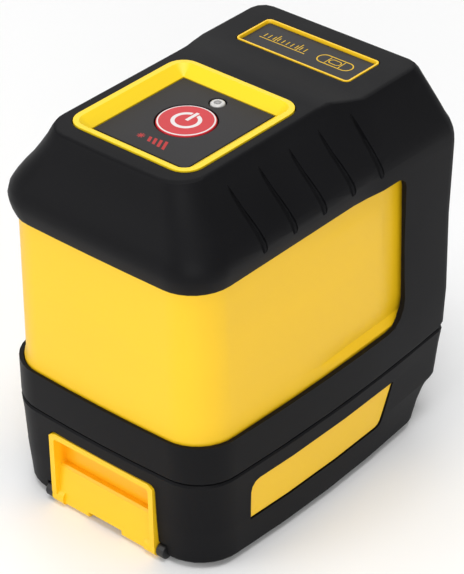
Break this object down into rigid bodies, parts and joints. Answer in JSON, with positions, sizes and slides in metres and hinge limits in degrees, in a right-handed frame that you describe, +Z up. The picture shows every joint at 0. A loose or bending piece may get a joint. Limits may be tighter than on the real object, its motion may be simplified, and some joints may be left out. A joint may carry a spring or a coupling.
{
  "type": "cross-line laser level",
  "caption": "Compact self-levelling laser level: box casing with gimballed pendulum behind a front window, keypad on top, battery base with flip latch.",
  "frame": {"origin": "on the floor under the middle of the casing", "axes": "+Z up, the laser window faces -Y, the battery latch faces +Y, +X is the side of the transport lock"},
  "size_m": [0.0692, 0.0969, 0.1029],
  "materials": {
    "rubber_black": "fine matt soft-touch rubber",
    "hard_black": "fine spark-eroded texture",
    "yellow_plastic": "satin moulded plastic",
    "membrane": "printed satin film",
    "red_key": "printed red key, semi-gloss",
    "lamp_grey": "translucent light grey",
    "window_glass": "polished, lightly tinted",
    "steel": "ground",
    "brass": "machined",
    "copper": "bare copper",
    "nickel": "nickel plated",
    "aluminium": "die cast, machined seats",
    "circuit_board": "solder mask",
    "cell_wrap": "printed sleeve without marks"
  },
  "bodies": {
    "casing": {"base_housing": "rubber_black", "base_screw_1": "steel", "base_screw_2": "steel", "base_screw_3": "steel", "base_screw_4": "steel", "battery_cell_1": "cell_wrap", "battery_cell_2": "cell_wrap", "battery_cell_3": "cell_wrap", "body_shell": "yellow_plastic", "chassis": "aluminium", "contact_front_left": "nickel", "contact_front_right": "nickel", "contact_rear_left": "nickel", "contact_rear_right": "nickel", "door_hinge_pin": "steel", "foot_1": "hard_black", "foot_2": "hard_black", "foot_3": "hard_black", "foot_4": "hard_black", "grip_jacket": "rubber_black", "keypad_bezel": "yellow_plastic", "keypad_board": "circuit_board", "keypad_overlay": "membrane", "label_frame": "yellow_plastic", "label_plate": "membrane", "laser_window": "window_glass", "magnet_left": "nickel", "magnet_right": "nickel", "main_board": "circuit_board", "pitch_bearing_left": "steel", "pitch_bearing_right": "steel", "power_switch": "steel", "side_inlay_left": "yellow_plastic", "side_inlay_right": "yellow_plastic", "status_lamp": "lamp_grey", "tripod_insert": "brass", "window_gasket": "rubber_black"},
    "power_button": {"power_button": "red_key"},
    "battery_door": {"battery_door": "hard_black", "latch_pin_left": "steel", "latch_pin_right": "steel"},
    "door_latch": {"door_latch": "yellow_plastic"},
    "gimbal_ring": {"gimbal_ring": "aluminium", "pitch_axle_left": "steel", "pitch_axle_right": "steel", "roll_bearing_front": "steel", "roll_bearing_rear": "steel"},
    "pendulum": {"pendulum_body": "aluminium", "roll_axle": "steel", "horizontal_laser_module": "brass", "vertical_laser_module": "brass", "horizontal_line_lens": "window_glass", "vertical_line_lens": "window_glass", "counterweight": "brass", "damper_plate": "copper"},
    "lock_slider": {"lock_slider": "red_key"},
    "brake_plunger": {"brake_plunger": "hard_black", "brake_pad": "rubber_black"}
  },
  "joints": [
    {"name": "power_press", "type": "slide", "parent": "casing", "child": "power_button", "axis": [0, 0, -1], "range_m": [0, 0.0005], "stiffness_N_per_m": 500},
    {"name": "door_hinge", "type": "hinge", "parent": "casing", "child": "battery_door", "pos_m": [0, -0.0156, 0.0033], "axis": [-1, 0, 0], "range_deg": [0, 100]},
    {"name": "latch_flip", "type": "hinge", "parent": "battery_door", "child": "door_latch", "pos_m": [0, 0.0462, 0.0024], "axis": [-1, 0, 0], "range_deg": [0, 75]},
    {"name": "gimbal_pitch", "type": "hinge", "parent": "casing", "child": "gimbal_ring", "pos_m": [0, 0, 0.086], "axis": [1, 0, 0], "range_deg": [-4, 4]},
    {"name": "gimbal_roll", "type": "hinge", "parent": "gimbal_ring", "child": "pendulum", "pos_m": [0, 0, 0.086], "axis": [0, 1, 0], "range_deg": [-4, 4]},
    {"name": "lock_slide", "type": "slide", "parent": "casing", "child": "lock_slider", "axis": [0, 1, 0], "range_m": [0, 0.006]},
    {"name": "brake_lift", "type": "slide", "parent": "casing", "child": "brake_plunger", "axis": [0, 0, 1], "range_m": [0, 0.0013]}
  ],
  "couplings": [
    {"joint": "brake_lift", "follows": "lock_slide", "ratio": 0.21667}
  ]
}
